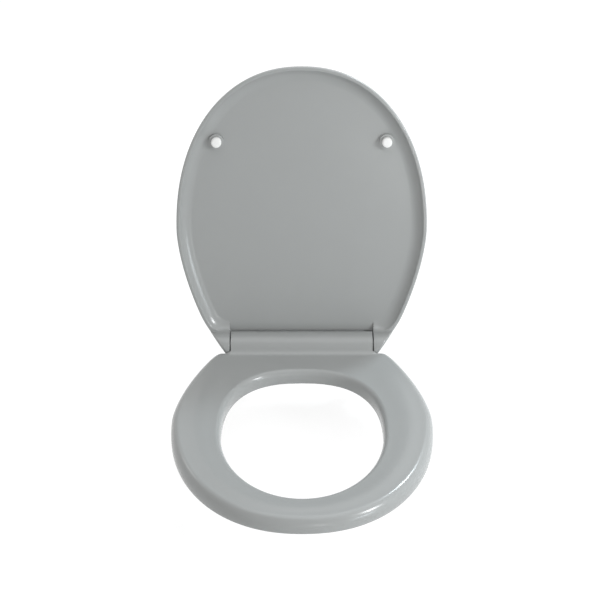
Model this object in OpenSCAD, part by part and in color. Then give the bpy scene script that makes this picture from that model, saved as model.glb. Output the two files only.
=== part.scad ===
/* [Outline] */
// Overall width of the ring and the lid
seat_w = 375; // [350:1:400]
// Hinge axis to the front tip
front_reach = 430; // [410:1:450]
// Hinge axis to the widest place
widest_at = 183; // [170:1:196]
// Squareness of the front curve, where 2 is an ellipse
front_power = 2.17; // [2:0.01:2.4]
// Length that the ring's rear curve would run to its own end
rear_reach = 286; // [280:1:296]
// Length that the lid's rear curve would run to its own end
lid_rear_reach = 311; // [304:1:316]
// Squareness of the rear curve, where 2 is an ellipse
rear_power = 1.57; // [1.5:0.01:1.8]

/* [Ring] */
// Width of the opening in the ring
hole_w = 231; // [215:1:245]
// Hinge axis to the front end of the opening
hole_front = 376; // [360:1:385]
// Hinge axis to the rear end of the opening
hole_rear = 73; // [66:1:85]
// Hinge axis to the widest place of the opening
hole_widest_at = 221; // [205:1:235]
// Squareness of the rear of the opening, where 2 is an ellipse
hole_rear_power = 2.5; // [2:0.1:3]
// Height of the ring from its lower edge to its top
ring_h = 23.5; // [21:0.5:26]
// Height of the ring's top over the hinge axis
ring_rise = 3.5; // [2:0.5:5]
// Width of the rounded outer shoulder
shoulder_run = 13; // [10:0.5:16]
// Height of the rounded outer shoulder
shoulder_rise = 17; // [14:0.5:18]
// Width of the rounded edge at the opening
lip_run = 9; // [7:0.5:12]
// Height of the rounded edge at the opening
lip_rise = 10; // [8:0.5:13]
// Crown of the ring between its two rounded edges
ring_crown = 1.2; // [0.5:0.1:2]
// Wall thickness of the ring
ring_t = 4; // [3:0.5:5]
// Thickness of the ribs under the ring
rib_t = 3; // [2:0.5:4]
// Number of ribs on each side of the ring between its bumpers
side_ribs = 3; // [2:1:3]

/* [Hinge block] */
// Length of the block between the two ears of the lid
block_len = 215; // [205:1:222]
// Outer radius of the block about the hinge axis
block_r = 23; // [22.5:0.25:24]
// Wall thickness of the block
block_t = 4; // [3:0.5:5]
// Thickness of the block's end walls
block_end_t = 5; // [4:0.5:7]
// Radius of the hollow fillet from the block to the ring
fillet_r = 12; // [7:0.5:12.5]
// Thickness of the lugs inside the block
lug_t = 5; // [4:0.5:7]

/* [Lid] */
// Angle of the open lid from the closed one
lid_open = 102; // [95:1:105]
// Height of the lid's rim over the hinge axis with the lid closed
rim_rise = 5; // [4.5:0.5:7]
// Depth of the lid's hollow
hollow_depth = 10.5; // [9:0.5:12]
// Wall thickness of the lid over its hollow
lid_t = 4; // [3:0.5:5]
// Width of the flat rim
rim_w = 5; // [4:0.5:8]
// Width of the curved slope from the rim into the hollow
slope_w = 19; // [15:1:24]
// Width of the same slope at the rear corners
rear_slope_w = 14; // [12:1:18]
// Height of the lid's side wall
lid_wall_h = 6; // [4:0.5:8]
// Width of the rounding from the side wall to the lid's top
lid_edge_run = 18; // [14:1:24]
// Crown of the lid's top
lid_crown = 4; // [2:0.5:6]
// Radius about the hinge axis of the lid's rear edge between the ears
lid_edge_r = 26; // [24.5:0.5:27]
// Hinge axis to the rear end of the hollow's mouth
mouth_rear = 26; // [26:1:30]
// Radius of the ears about the hinge axis
ear_r = 22; // [20:0.5:22]
// Radius of the hollow fillet from an ear to the rim
ear_fillet_r = 3.5; // [2:0.5:4]
// Half the width over the ears where they cross the hinge axis
ear_out = 124.8; // [124:0.2:127]
// Angle of the ears' outer faces to the lid's middle
ear_slant = 33.4; // [30:0.2:35]
// Lean of the ears' outer faces below the rim
ear_lean = 11.8; // [0:0.2:12]
// Gap between an ear and the block's end
ear_gap = 1; // [0.6:0.1:1.5]

/* [Hinge] */
// Height of the hinge axis over the bowl
axis_h = 30; // [29:0.5:34]
// Distance between the two mounting bolts
bolt_spacing = 155; // [145:1:165]
// Diameter of the hinge pins
pin_d = 8; // [6:0.5:9]
// Radial clearance of the pins in their bushes and bores
pin_fit = 0.05; // [0.02:0.01:0.1]
// Wall thickness of the bushes
bush_t = 1.5; // [1:0.1:2]
// Depth of the pin's bore in an ear of the lid
ear_bore_l = 8; // [7:0.5:8.5]
// Radius of the barrel of a hinge post
barrel_r = 11; // [9:0.5:12.5]
// Length of the barrel of a hinge post
barrel_l = 20; // [16:1:24]
// Width of the neck of a hinge post
neck_w = 16; // [14:0.5:18]
// Depth of the neck of a hinge post from front to back
neck_d = 14; // [12:0.5:15]
// Length of the base plate
plate_l = 44; // [36:1:50]
// Width of the base plate
plate_w = 22; // [20:0.5:22]
// Thickness of the base plate
plate_t = 2.5; // [2:0.25:3]
// Diameter of the grub screw
grub_d = 5; // [4:1:6]

/* [Fixings] */
// Thickness of the gasket under the base plate
gasket_t = 1.5; // [1:0.25:2]
// Diameter of the mounting bolt's plain shank
shank_d = 8; // [7:0.5:10]
// Diameter of the mounting bolt's thread, drawn at its middle
thread_d = 7.2; // [6:0.1:7.6]
// Thickness of the bowl that the bolts clamp
bowl_t = 18; // [12:1:20]
// Length of the mounting bolt below the bowl's top
bolt_drop = 46; // [42:1:60]
// Thread that the mounting bolt has in its hinge post
bolt_grip = 14; // [10:1:16]
// Height of the rubber cone washer
cone_h = 6; // [4:0.5:8]
// Thickness of the flat washer
washer_t = 2; // [1.5:0.5:3]
// Height of the wing nut
nut_h = 12; // [9:0.5:14]
// Span of the wing nut's wings
wing_span = 36; // [30:1:42]

/* [Bumpers] */
// Diameter of the lid's bumpers
lid_bumper_d = 15; // [12:0.5:18]
// Angle round the lid to a bumper, from the widest place to the front tip at 90
lid_bumper_t = 35.5; // [30:0.5:50]
// Outline to the centre of a lid bumper
lid_bumper_inset = 33; // [28:0.5:36]
// Diameter of the collar round a lid bumper
collar_d = 23; // [20:0.5:26]
// Height of the collar over the floor of the lid's hollow
collar_h = 4; // [3.8:0.2:6]
// Gap between the closed lid's bumpers and the ring
bumper_gap = 0.4; // [0.3:0.1:1]
// Length of a bumper under the ring
foot_l = 36; // [30:1:42]
// Width of a bumper under the ring
foot_w = 16; // [12:1:18]
// Angle round the ring to a front bumper, from the widest place to the front tip at 90
front_foot_t = 57; // [40:1:68]
// Angle round the ring to a rear bumper, behind the widest place
rear_foot_t = -20; // [-26:1:-10]
// Diameter of the pegs on the bumpers
peg_d = 5; // [4:0.5:6]
// Length of the pegs on the bumpers under the ring
peg_l = 6; // [4:0.5:8]
// Radial clearance of pegs, bushes and threads in the pieces that hold them
press_gap = 0.05; // [0.02:0.01:0.1]

/* [Hidden] */
$fn = 64;

// Angles of the sections round the right half, closer together at the rear corner
right_angles = concat([for (a = [-90:6:-66]) a], [for (a = [-62:2:-32]) a], [for (a = [-30:5:90]) a]);
angles = concat(right_angles, [for (i = [len(right_angles) - 2:-1:1]) 180 - right_angles[i]]);
stations = len(angles);
far = 600;               // longer than any part of the seat
skin = 0.4;              // how far a joined solid lies inside the surface that it meets
grey = [0.60, 0.61, 0.61];

ring_foot = ring_rise - ring_h;                 // lower edge of the ring, from the hinge axis
ring_rear = 4;                                  // hinge axis to the ring's rear edge, inside the block
corner_r = 30;                                  // softness of the ring's rear corners
mouth_corner_r = 18;                            // softness of the rear corners of the lid's hollow
cavity_r = block_r - block_t;
block_end = block_len / 2;
ear_in = block_end + ear_gap;
scoop_r = ear_r + ear_gap;
floor_rise = rim_rise + hollow_depth;           // the hollow's floor, lid closed
lid_side_top = rim_rise + lid_wall_h;
lid_top = floor_rise + lid_t;
bush_r = pin_d / 2 + pin_fit + bush_t;
flange_t = 1;                                   // flange of a bush
flange_r = bush_r + 2.5;
pin_in = bolt_spacing / 2 - barrel_l / 2 - lug_t - 8;   // inner end of a pin
lug_at = bolt_spacing / 2 - barrel_l / 2 - lug_t - 4;   // inner face of an inner lug
pin_out = ear_in + ear_bore_l - 1;
neck_gap = 1.5;                                 // between a post's neck and its slot in the block
lid_back = 26;                                  // hinge axis to the rear of the lid's outline
lid_peg_l = 4;                                  // peg of a lid bumper
foot_top = ring_foot + 2;                       // top of a bumper under the ring
grub_l = 6;
cone_r = 12;                                    // cone washer at its top
hub_r = 8;                                      // hub of the wing nut
wing_t = 3;

function spow(v, p) = sign(v) * pow(abs(v), p);
function soft_max(a, b, k) = let(h = max(k - abs(a - b), 0) / k) max(a, b) + h * h * k / 4;

// A closed curve whose front and rear halves are superellipses; 90 degrees is the front tip
function curve_point(t, half_w, mid, front, front_p, rear, rear_p) =
    let(ahead = sin(t) >= 0, p = ahead ? front_p : rear_p, reach = ahead ? front : rear)
    [half_w * spow(cos(t), 2 / p), -(mid + reach * spow(sin(t), 2 / p))];
function outline_point(t, reach = rear_reach) = curve_point(
    t, seat_w / 2, widest_at, front_reach - widest_at, front_power, reach, rear_power);
function hole_point(t) = curve_point(
    t, hole_w / 2, hole_widest_at, hole_front - hole_widest_at, 2,
    hole_widest_at - hole_rear, hole_rear_power);
function inward(t, reach) =
    let(d = outline_point(t + 1, reach) - outline_point(t - 1, reach)) [d[1], -d[0]] / norm(d);
// A point at a distance inside the outline, kept in front of a straight rear edge
function inset_point(t, inset, rear, soft, reach = rear_reach) =
    let(p = outline_point(t, reach) + inset * inward(t, reach)) [p[0], -soft_max(-p[1], rear, soft)];
function station_angle(i) = angles[i];

// Section of the ring: distance from the outer edge, height from the hinge axis
function ring_section(l, crown) =
    let(side = ring_rise - ring_crown, flat = l - shoulder_run - lip_run,
        in_run = shoulder_run - ring_t, in_rise = shoulder_rise - ring_t,
        lip_in_run = lip_run - ring_t, lip_in_rise = lip_rise - ring_t)
    concat(
        [[1.2, ring_foot], [0, ring_foot + 1.5]],
        [for (a = [0:15:90]) [shoulder_run * (1 - cos(a)), side - shoulder_rise * (1 - sin(a))]],
        [for (u = [0.2:0.2:0.8]) [shoulder_run + flat * u, side + crown * pow(sin(180 * u), 2)]],
        [for (a = [90:-15:0]) [l - lip_run * (1 - cos(a)), side - lip_rise * (1 - sin(a))]],
        [[l, ring_foot + 1.5], [l - 1.2, ring_foot], [l - ring_t, ring_foot]],
        [for (a = [0:45:90])
            [l - ring_t - lip_in_run * (1 - cos(a)), side - lip_rise + lip_in_rise * sin(a)]],
        [for (a = [90:-30:0])
            [ring_t + in_run * (1 - cos(a)), side - shoulder_rise + in_rise * sin(a)]],
        [[ring_t, ring_foot]]
    );
// The ring's crown fades out towards the hinge block
function crown_at(s) = let(k = min(max((s - 45) / 60, 0), 1)) ring_crown * k * k * (3 - 2 * k);
function ring_station(t) =
    let(p = inset_point(t, 0, ring_rear, corner_r), q = hole_point(t), l = norm(q - p), d = (q - p) / l)
    [for (s = ring_section(l, crown_at(-(p[1] + q[1]) / 2)))
        [p[0] + d[0] * s[0], p[1] + d[1] * s[0], s[1]]];

// Closed loop of sections
module loop_loft(sections) {
    n = len(sections);
    m = len(sections[0]);
    polyhedron(
        points = [for (s = sections) each s],
        faces = [for (i = [0:n - 1], j = [0:m - 1])
            let(a = i * m + j, b = i * m + (j + 1) % m,
                c = ((i + 1) % n) * m + (j + 1) % m, d = ((i + 1) % n) * m + j)
            each [[a, d, c], [a, c, b]]]
    );
}

// Solid between rings of points, closed by a point on top and one below
module disc_loft(rings, top, bottom) {
    n = len(rings);
    m = len(rings[0]);
    polyhedron(
        points = concat([top], [for (r = rings) each r], [bottom]),
        faces = concat(
            [for (i = [0:m - 1]) [0, 1 + i, 1 + (i + 1) % m]],
            [for (r = [0:n - 2], i = [0:m - 1])
                let(a = 1 + r * m + i, b = 1 + r * m + (i + 1) % m, c = b + m, d = a + m)
                each [[a, d, c], [a, c, b]]],
            [for (i = [0:m - 1]) [1 + n * m, 1 + (n - 1) * m + (i + 1) % m, 1 + (n - 1) * m + i]]
        )
    );
}

// Lays a profile of [forward distance, height] across the seat from x0 to x1
module across(x0, x1) {
    translate([x0, 0, 0]) rotate([90, 0, 90]) linear_extrude(x1 - x0) mirror([1, 0]) children();
}
// A cylinder on the hinge axis from x0 to x1
module axle(r, x0, x1) {
    translate([x0, 0, 0]) rotate([0, 90, 0]) cylinder(r = r, h = x1 - x0);
}
module both_sides() {
    children();
    mirror([1, 0, 0]) children();
}
module side(s) {
    mirror([s < 0 ? 1 : 0, 0, 0]) children();
}
module at_axis() {
    translate([0, 0, axis_h]) children();
}
// Everything on the lid is drawn closed, then swung open about the hinge axis
module swung() {
    at_axis() rotate([-lid_open, 0, 0]) children();
}
module slot_shape(l, w) {
    square([l - w, w], center = true);
    for (s = [-1, 1]) translate([s * (l - w) / 2, 0]) circle(d = w);
}

// Outline at a distance inside the edge, as a flat shape
module outline_shape(inset, rear) {
    polygon([for (i = [0:stations - 1]) inset_point(station_angle(i), inset, rear, corner_r)]);
}

// Rib that fills the section of the ring at one angle, sunk into its walls
module ring_rib(t) {
    p = inset_point(t, 0, ring_rear, corner_r);
    d = hole_point(t) - p;
    l = norm(d);
    sunk = ring_t / 2;
    flat_z = ring_rise - ring_crown;
    translate([p[0], p[1], 0]) rotate([0, 0, atan2(d[1], d[0])]) rotate([90, 0, 0])
        translate([0, 0, -rib_t / 2]) linear_extrude(rib_t) polygon(concat(
            [[sunk, ring_foot + sunk]],
            [for (a = [0:30:90]) [sunk + (shoulder_run - sunk) * (1 - cos(a)),
                flat_z - shoulder_rise + (shoulder_rise - sunk) * sin(a)]],
            [for (a = [90:-30:0]) [l - sunk - (lip_run - sunk) * (1 - cos(a)),
                flat_z - lip_rise + (lip_rise - sunk) * sin(a)]],
            [[l - sunk, ring_foot + sunk]]
        ));
}
module ring_ribs() {
    ring_rib(90);
    both_sides() {
        for (k = [0.5:side_ribs - 0.5]) ring_rib(rear_foot_t + (front_foot_t - rear_foot_t) * k / side_ribs);
        ring_rib(rear_foot_t - 14);
        ring_rib(-54);
        ring_rib(-72);
    }
}

// A bumper's place: midway between the outline and the opening, along the ring
module at_foot(t) {
    p = outline_point(t);
    d = hole_point(t) - p;
    translate([p[0] + d[0] / 2, p[1] + d[1] / 2, 0]) rotate([0, 0, atan2(d[1], d[0]) + 90]) children();
}
module foot_boss() {
    translate([0, 0, foot_top]) linear_extrude(ring_rise - ring_crown - ring_t / 2 - foot_top)
        slot_shape(foot_l + 2, foot_w + 2);
}
module peg_bores() {
    for (s = [-1, 1]) translate([s * foot_l / 4, 0, foot_top - 1])
        cylinder(d = peg_d + 2 * press_gap, h = peg_l + 1.5);
}
module each_foot() {
    both_sides() for (t = [front_foot_t, rear_foot_t]) at_foot(t) children();
}

// Hollow fillet from the block down to the ring's top, grown by g where it is a clearance
function fillet_base() = ring_rise - ring_crown - skin / 4;
function fillet_s() = sqrt(pow(block_r + fillet_r, 2) - pow(fillet_base() + fillet_r, 2));
function fillet_arc(g) =
    let(z = fillet_base() + fillet_r, start = 180 + atan2(z, fillet_s()))
    [for (k = [0:6]) let(a = start + (270 - start) * k / 6)
        [fillet_s() + (fillet_r - g) * cos(a), z + (fillet_r - g) * sin(a)]];
module block_fillet() {
    polygon(concat(
        [[block_r / 2, ring_foot / 4], [block_r / 2, fillet_base() + fillet_r]],
        fillet_arc(0), [[fillet_s(), ring_foot / 4]]
    ));
}
// The same fillet carried round each end of the block
module end_flare(g) {
    z = fillet_base() + fillet_r;
    intersection() {
        across(block_end - block_t, block_end + fillet_r) polygon(concat(
            [[block_r / 2, ring_foot / 4], [block_r / 2, z]], fillet_arc(g),
            [[fillet_s(), ring_foot / 4]]
        ));
        rotate([90, 0, 0]) linear_extrude(far) polygon(concat(
            [[block_end - block_t, ring_foot / 4], [block_end - block_t, z]],
            [for (a = [180:15:270])
                [block_end + fillet_r + (fillet_r - g) * cos(a), z + (fillet_r - g) * sin(a)]],
            [[block_end + fillet_r, ring_foot / 4]]
        ));
    }
}

// Fills the ring's rear corners behind the ears, in steps under the rounded shoulder
module corner_fill() {
    for (step = [[3, -8], [8, -2.5], [shoulder_run, ring_rise - ring_crown - ring_t / 2]])
        translate([0, 0, ring_foot + skin]) linear_extrude(step[1] - ring_foot - skin) intersection() {
            outline_shape(step[0], ring_rear);
            translate([block_end - block_end_t, -scoop_r - ring_t])
                square([seat_w / 2, scoop_r + ring_t - ring_rear]);
        }
}

module block_disc(x0, t) {
    axle(cavity_r + skin, x0, x0 + t);
}

module seat_ring() color(grey) at_axis() difference() {
    union() {
        difference() {
            union() {
                loop_loft([for (i = [0:stations - 1]) ring_station(station_angle(i))]);
                axle(block_r, -block_end, block_end);
                across(-block_end, block_end)
                    translate([cavity_r, ring_foot]) square([block_t, -ring_foot]);
                across(-block_end, block_end) block_fillet();
                both_sides() {
                    end_flare(0);
                    corner_fill();
                }
                ring_ribs();
                each_foot() foot_boss();
            }
            // Hollow of the block, open below
            axle(cavity_r, block_end_t - block_end, block_end - block_end_t);
            translate([block_end_t - block_end, -cavity_r, -far])
                cube([block_len - 2 * block_end_t, 2 * cavity_r, far]);
            translate([-far, 0, -far - block_r / 2]) cube([2 * far, far, far]);
        }
        block_disc(-rib_t / 2, rib_t);
        both_sides() {
            block_disc(lug_at, lug_t);
            block_disc(lug_at / 2 - rib_t / 2, rib_t);
        }
    }
    both_sides() {
        // Room for the ears of the lid
        axle(scoop_r, block_end, far);
        translate([block_end, 0, -far]) cube([far, far, 2 * far]);
        // Slot that the post's neck passes through as the ring lifts
        translate([bolt_spacing / 2 - neck_w / 2 - neck_gap, 0, -far])
            cube([neck_w + 2 * neck_gap, far, far + neck_d / 2 + 2 * neck_gap]);
        axle(bush_r + press_gap, lug_at - 1, far);
    }
    each_foot() peg_bores();
}

// Lid, drawn closed with the hinge axis at the origin
function lid_ring(inset, z) =
    [for (i = [0:stations - 1]) let(p = inset_point(station_angle(i), inset, -lid_back, ear_r / 2, lid_rear_reach))
        [p[0], p[1], z]];
function drawn_in(ring, k, z) = [for (p = ring) [p[0] * k, (p[1] + widest_at) * k - widest_at, z]];
// The slope is an arc that is steepest at the rim and runs out level on the floor
function slope_ring(u) =
    let(steep = 2 * atan(hollow_depth / slope_w), a = asin((1 - u) * sin(steep)),
        z = floor_rise - hollow_depth * (1 - cos(a)) / (1 - cos(steep)))
    [for (i = [0:stations - 1])
        let(p = inset_point(station_angle(i), rim_w + slope_w * u, mouth_rear + rear_slope_w * u,
            mouth_corner_r, lid_rear_reach))
        [p[0], p[1], z]];
module lid_body() {
    top_edge = lid_ring(lid_edge_run, lid_top);
    disc_loft(
        concat(
            [for (k = [0.25:0.25:0.75]) drawn_in(top_edge, k, lid_top + lid_crown * (1 - k * k))],
            [top_edge],
            [for (a = [70:-17.5:0]) lid_ring(lid_edge_run * (1 - cos(a)),
                lid_side_top + (lid_top - lid_side_top) * sin(a))],
            [lid_ring(0, rim_rise + 1.5), lid_ring(0.5, rim_rise + 0.5), lid_ring(1.5, rim_rise)]
        ),
        [0, -widest_at, lid_top + lid_crown], [0, -widest_at, rim_rise]
    );
}
module lid_hollow() {
    mouth = slope_ring(0);
    disc_loft(
        concat(
            [for (u = [1:-1 / 7:0.01]) slope_ring(u)],
            [mouth, [for (p = mouth) [p[0], p[1], 0]]]
        ),
        [0, -widest_at, floor_rise], [0, -widest_at, 0]
    );
}
// Small hollow fillet where an ear meets the rim
module ear_fillet() {
    r = ear_r - skin / 8;
    n = rim_rise + skin / 8 - ear_fillet_r;
    s = sqrt(pow(r + ear_fillet_r, 2) - n * n);
    polygon(concat(
        [[ear_r / 2, 0], [ear_r / 2, lid_side_top - skin], [s, lid_side_top - skin]],
        [for (k = [0:5]) let(a = 90 + (90 + atan2(n, s)) * k / 5)
            [s + ear_fillet_r * cos(a), n + ear_fillet_r * sin(a)]]
    ));
}
// All that lies beyond the slanted outer face of an ear
module beyond_ear(lean) {
    translate([ear_out, 0, rim_rise]) rotate([0, lean, ear_slant]) translate([0, -far, -far])
        cube([far, 2 * far, 2 * far]);
}
module at_lid_bumper() {
    p = inset_point(lid_bumper_t, lid_bumper_inset, mouth_rear, mouth_corner_r);
    translate([p[0], p[1], 0]) children();
}
module lid() color(grey) swung() difference() {
    union() {
        difference() {
            union() {
                lid_body();
                both_sides() intersection() {
                    union() {
                        axle(ear_r, block_end, far);
                        across(block_end, far) ear_fillet();
                    }
                    translate([0, -ear_r - ear_fillet_r, -ear_r])
                        cube([seat_w / 2, 2 * (ear_r + ear_fillet_r), ear_r + lid_side_top]);
                }
            }
            lid_hollow();
            // The floor runs on to the rear edge between the ears
            translate([-ear_in, -mouth_rear - rear_slope_w - mouth_corner_r, -far])
                cube([2 * ear_in, far, far + floor_rise]);
            axle(lid_edge_r, -ear_in, ear_in);
            translate([-ear_in, 0, -far]) cube([2 * ear_in, far, 2 * far]);
            // Ears are round behind the hinge axis
            difference() {
                translate([-far, 0, -far]) cube([2 * far, far, 2 * far]);
                axle(ear_r, -far, far);
            }
            both_sides() {
                end_flare(ear_gap);
                beyond_ear(0);
                beyond_ear(ear_lean);
            }
        }
        both_sides() at_lid_bumper() translate([0, 0, floor_rise - collar_h])
            cylinder(d = collar_d, h = collar_h + lid_t / 4);
    }
    both_sides() {
        axle(bush_r + press_gap, block_end, ear_in + ear_bore_l);
        at_lid_bumper() {
            translate([0, 0, floor_rise - collar_h - 1])
                cylinder(d = peg_d + 2 * press_gap, h = lid_peg_l + 1.3);
            // Room for the bumper beside the slope
            cylinder(d = lid_bumper_d + 2 * press_gap, h = floor_rise - collar_h);
        }
    }
}

module lid_bumper(s) color("white") swung() side(s) at_lid_bumper() {
    low = ring_rise + bumper_gap;
    high = floor_rise - collar_h;
    edge = 1.5;
    rotate_extrude() polygon(concat(
        [[0, low]],
        [for (a = [-90:22.5:0]) [lid_bumper_d / 2 - edge + edge * cos(a), low + edge + edge * sin(a)]],
        [[lid_bumper_d / 2, high], [peg_d / 2, high], [peg_d / 2, high + lid_peg_l], [0, high + lid_peg_l]]
    ));
}

module seat_bumper(s, t) color("white") at_axis() side(s) at_foot(t) {
    translate([0, 0, -axis_h]) linear_extrude(axis_h + foot_top) slot_shape(foot_l, foot_w);
    for (k = [-1, 1]) translate([k * foot_l / 4, 0, foot_top - 1]) cylinder(d = peg_d, h = peg_l + 1);
}

// Tube with a flange at its x0 end, or with none where flange is 0
module bush(x0, x1, flange) {
    difference() {
        union() {
            axle(bush_r, x0, x1);
            if (flange > 0) axle(flange_r, x0, x0 + flange);
        }
        axle(pin_d / 2 + pin_fit, x0 - 1, x1 + 1);
    }
}
module seat_bush_inner(s) color("ivory") at_axis() side(s)
    translate([2 * lug_at + lug_t, 0, 0]) mirror([1, 0, 0]) bush(lug_at - flange_t, lug_at + lug_t, flange_t);
module seat_bush_outer(s) color("ivory") at_axis() side(s)
    bush(block_end - block_end_t - flange_t, block_end, flange_t);
module lid_bush(s) color("ivory") swung() side(s) bush(ear_in, ear_in + ear_bore_l, 0);

// Round bar along the hinge axis with chamfered ends
module bar(d, x0, x1, chamfer) {
    r = d / 2;
    translate([x0, 0, 0]) rotate([0, 90, 0]) rotate_extrude() polygon([
        [0, 0], [r - chamfer, 0], [r, chamfer], [r, x1 - x0 - chamfer], [r - chamfer, x1 - x0], [0, x1 - x0]
    ]);
}
module hinge_pin(s) color("silver") at_axis() side(s) bar(pin_d, pin_in, pin_out, 0.8);

module hinge_post(s) color("gray") side(s) translate([bolt_spacing / 2, 0, 0]) difference() {
    union() {
        at_axis() bar(2 * barrel_r, -barrel_l / 2, barrel_l / 2, 1);
        translate([-neck_w / 2, -neck_d / 2, gasket_t]) cube([neck_w, neck_d, axis_h - gasket_t]);
        translate([0, 0, gasket_t]) linear_extrude(plate_t) slot_shape(plate_l, plate_w);
    }
    at_axis() axle(pin_d / 2 + pin_fit, -barrel_l, barrel_l);
    cylinder(d = thread_d + 2 * press_gap, h = bolt_grip + 0.5);
    at_axis() rotate([-90, 0, 0]) cylinder(d = grub_d + 2 * press_gap, h = barrel_r + 1);
}

module grub_screw(s) color("dimgray") side(s) translate([bolt_spacing / 2, 0, 0]) at_axis()
    rotate([-90, 0, 0]) difference() {
        translate([0, 0, pin_d / 2 + pin_fit]) cylinder(d = grub_d, h = grub_l);
        translate([0, 0, pin_d / 2 + pin_fit + grub_l / 2])
            cylinder(d = grub_d / 2 / cos(30), h = grub_l, $fn = 6);
    }

module base_gasket(s) color("black") side(s) translate([bolt_spacing / 2, 0, 0])
    linear_extrude(gasket_t) difference() {
        slot_shape(plate_l, plate_w);
        circle(d = shank_d + 1);
    }

module mounting_bolt(s) color("silver") side(s) translate([bolt_spacing / 2, 0, 0])
    rotate_extrude() polygon([
        [0, bolt_grip], [thread_d / 2 - 0.8, bolt_grip], [thread_d / 2, bolt_grip - 0.8], [thread_d / 2, 0],
        [shank_d / 2, 0], [shank_d / 2, -bowl_t], [thread_d / 2, -bowl_t],
        [thread_d / 2, 1 - bolt_drop], [thread_d / 2 - 1, -bolt_drop], [0, -bolt_drop]
    ]);

module cone_washer(s) color("black") side(s) translate([bolt_spacing / 2, 0, -bowl_t - cone_h])
    difference() {
        rotate_extrude() polygon([
            [0, 0], [cone_r - 4, 0], [cone_r, cone_h - 2], [cone_r, cone_h], [0, cone_h]
        ]);
        translate([0, 0, -1]) cylinder(d = thread_d + 2 * press_gap, h = cone_h + 2);
    }

module flat_washer(s) color("white") side(s)
    translate([bolt_spacing / 2, 0, -bowl_t - cone_h - washer_t]) difference() {
        cylinder(r = cone_r - 2, h = washer_t);
        translate([0, 0, -1]) cylinder(d = thread_d + 2 * press_gap, h = washer_t + 2);
    }

module wing_nut(s) color("white") side(s)
    translate([bolt_spacing / 2, 0, -bowl_t - cone_h - washer_t - nut_h]) difference() {
        union() {
            rotate_extrude() polygon([
                [0, 0], [hub_r - 1, 0], [hub_r, 1], [hub_r, nut_h - 2], [hub_r + 2, nut_h], [0, nut_h]
            ]);
            translate([0, wing_t / 2, 0]) rotate([90, 0, 0]) linear_extrude(wing_t) {
                both_sides() {
                    translate([wing_span / 2 - nut_h / 3, nut_h / 3]) circle(r = nut_h / 3);
                    polygon([[0, nut_h - 2], [0, 2], [wing_span / 2 - nut_h / 3, 0],
                        [wing_span / 2 - nut_h / 3, nut_h / 3 * 2]]);
                }
            }
        }
        translate([0, 0, -1]) cylinder(d = thread_d + 2 * press_gap, h = nut_h + 2);
    }

seat_ring();
seat_bush_inner(-1);  // seat_bush_inner_left
seat_bush_inner(1);  // seat_bush_inner_right
seat_bush_outer(-1);  // seat_bush_outer_left
seat_bush_outer(1);  // seat_bush_outer_right
seat_bumper(-1, front_foot_t);  // seat_bumper_front_left
seat_bumper(1, front_foot_t);  // seat_bumper_front_right
seat_bumper(-1, rear_foot_t);  // seat_bumper_rear_left
seat_bumper(1, rear_foot_t);  // seat_bumper_rear_right
lid();
lid_bush(-1);  // lid_bush_left
lid_bush(1);  // lid_bush_right
lid_bumper(-1);  // lid_bumper_left
lid_bumper(1);  // lid_bumper_right
hinge_post(-1);  // hinge_post_left
hinge_post(1);  // hinge_post_right
hinge_pin(-1);  // hinge_pin_left
hinge_pin(1);  // hinge_pin_right
grub_screw(-1);  // grub_screw_left
grub_screw(1);  // grub_screw_right
base_gasket(-1);  // base_gasket_left
base_gasket(1);  // base_gasket_right
mounting_bolt(-1);  // mounting_bolt_left
mounting_bolt(1);  // mounting_bolt_right
cone_washer(-1);  // cone_washer_left
cone_washer(1);  // cone_washer_right
flat_washer(-1);  // flat_washer_left
flat_washer(1);  // flat_washer_right
wing_nut(-1);  // wing_nut_left
wing_nut(1);  // wing_nut_right
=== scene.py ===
"""A moulded toilet seat: ring with its hinge block, dished lid, hinge and fixings, and a plain studio."""

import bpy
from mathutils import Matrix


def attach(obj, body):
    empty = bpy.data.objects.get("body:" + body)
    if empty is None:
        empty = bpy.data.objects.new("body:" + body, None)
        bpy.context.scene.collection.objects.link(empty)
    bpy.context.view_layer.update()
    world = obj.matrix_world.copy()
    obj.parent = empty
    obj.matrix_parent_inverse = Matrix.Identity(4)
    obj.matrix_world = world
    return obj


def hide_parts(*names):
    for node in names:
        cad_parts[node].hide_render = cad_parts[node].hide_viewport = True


bl_info = {
    "name": "Toilet Seat",
    "version": (1, 0, 0),
    "blender": (4, 5, 0),
    "location": "View3D > Sidebar > Seat",
    "description": "Models a toilet seat with its lid round a fixed hinge and fixings, and lights it",
    "category": "Object",
}

import math

import bpy
import numpy as np

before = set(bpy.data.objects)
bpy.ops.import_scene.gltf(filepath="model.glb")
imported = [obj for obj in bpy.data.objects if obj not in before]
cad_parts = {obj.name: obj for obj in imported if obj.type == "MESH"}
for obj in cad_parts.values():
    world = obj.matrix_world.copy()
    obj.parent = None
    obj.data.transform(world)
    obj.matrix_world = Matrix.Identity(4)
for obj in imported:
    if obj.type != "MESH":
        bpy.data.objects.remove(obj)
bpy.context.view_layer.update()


# Properties

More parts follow.
